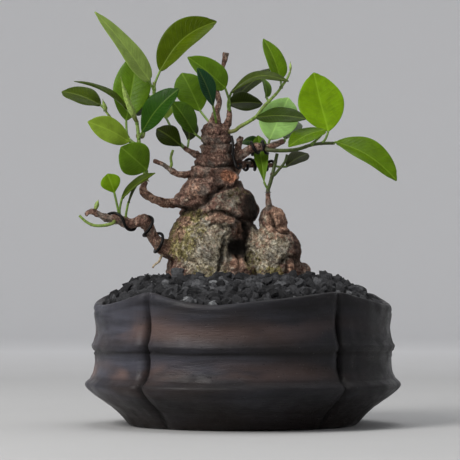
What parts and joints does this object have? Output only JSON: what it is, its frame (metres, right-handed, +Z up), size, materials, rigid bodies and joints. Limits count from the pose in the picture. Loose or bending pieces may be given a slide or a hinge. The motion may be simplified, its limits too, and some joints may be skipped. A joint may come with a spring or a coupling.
{
  "type": "bonsai tree in a pot",
  "caption": "Small fig bonsai with a swollen gnarled trunk, wired branches and oval green leaves, growing in dark grit in a lobed unglazed stoneware pot.",
  "frame": {"origin": "centre of the pot's flat underside, on the surface it stands on", "axes": "+Z up; -Y towards the front of the planting, where the pot's broad front lobe faces; +X to the viewer's right"},
  "size_m": [0.1622, 0.149, 0.1957],
  "materials": {
    "stoneware": "unglazed smoke-fired, matt to satin, brown and blue-grey cast",
    "lava_grit": "rough porous granules",
    "bark": "rough wrinkled bark with lichen",
    "aerial_root": "matt",
    "green_stem": "satin, living green stem",
    "leaf": "leathery, waxy satin upper side and paler matt underside",
    "bud_sheath": "satin",
    "black_wire": "black anodised",
    "screen_plastic": "matt"
  },
  "bodies": {
    "root": {"aerial_root": "aerial_root", "bud_crown_left": "bud_sheath", "bud_left_outer": "bud_sheath", "bud_left_sheath": "bud_sheath", "bud_low_left": "bud_sheath", "bud_right_tip": "bud_sheath", "drain_screen_left": "screen_plastic", "drain_screen_right": "screen_plastic", "leaf_back_yellow": "leaf", "leaf_centre_back": "leaf", "leaf_centre_blue": "leaf", "leaf_centre_dark": "leaf", "leaf_centre_fold": "leaf", "leaf_centre_top": "leaf", "leaf_far_right_drooping": "leaf", "leaf_hook_round": "leaf", "leaf_left_back_dark": "leaf", "leaf_left_edge_on": "leaf", "leaf_left_front_dark": "leaf", "leaf_left_light": "leaf", "leaf_left_outer_dark": "leaf", "leaf_left_round_back": "leaf", "leaf_low_heart": "leaf", "leaf_low_narrow": "leaf", "leaf_low_slim": "leaf", "leaf_right_arch": "leaf", "leaf_right_back_dull": "leaf", "leaf_right_back_long": "leaf", "leaf_right_big_round": "leaf", "leaf_right_dark_point": "leaf", "leaf_right_edge_bright": "leaf", "leaf_right_flat": "leaf", "leaf_right_grey_back": "leaf", "leaf_right_hanging": "leaf", "leaf_right_pale_back": "leaf", "leaf_right_slim_back": "leaf", "leaf_right_small_arch": "leaf", "leaf_right_upright": "leaf", "leaf_top_left_broad": "leaf", "leaf_top_left_narrow": "leaf", "leaf_upper_left_dark": "leaf", "pot": "stoneware", "shoot_knob": "green_stem", "shoot_knob_side": "green_stem", "shoot_left": "green_stem", "shoot_left_outer": "green_stem", "shoot_left_top": "green_stem", "shoot_low_left": "green_stem", "shoot_right": "green_stem", "shoot_right_top": "green_stem", "shoot_upper_left": "green_stem", "soil": "lava_grit", "trunk": "bark", "wire_back": "black_wire", "wire_lower_left": "black_wire", "wire_neck": "black_wire", "wire_right": "black_wire"}
  },
  "joints": []
}
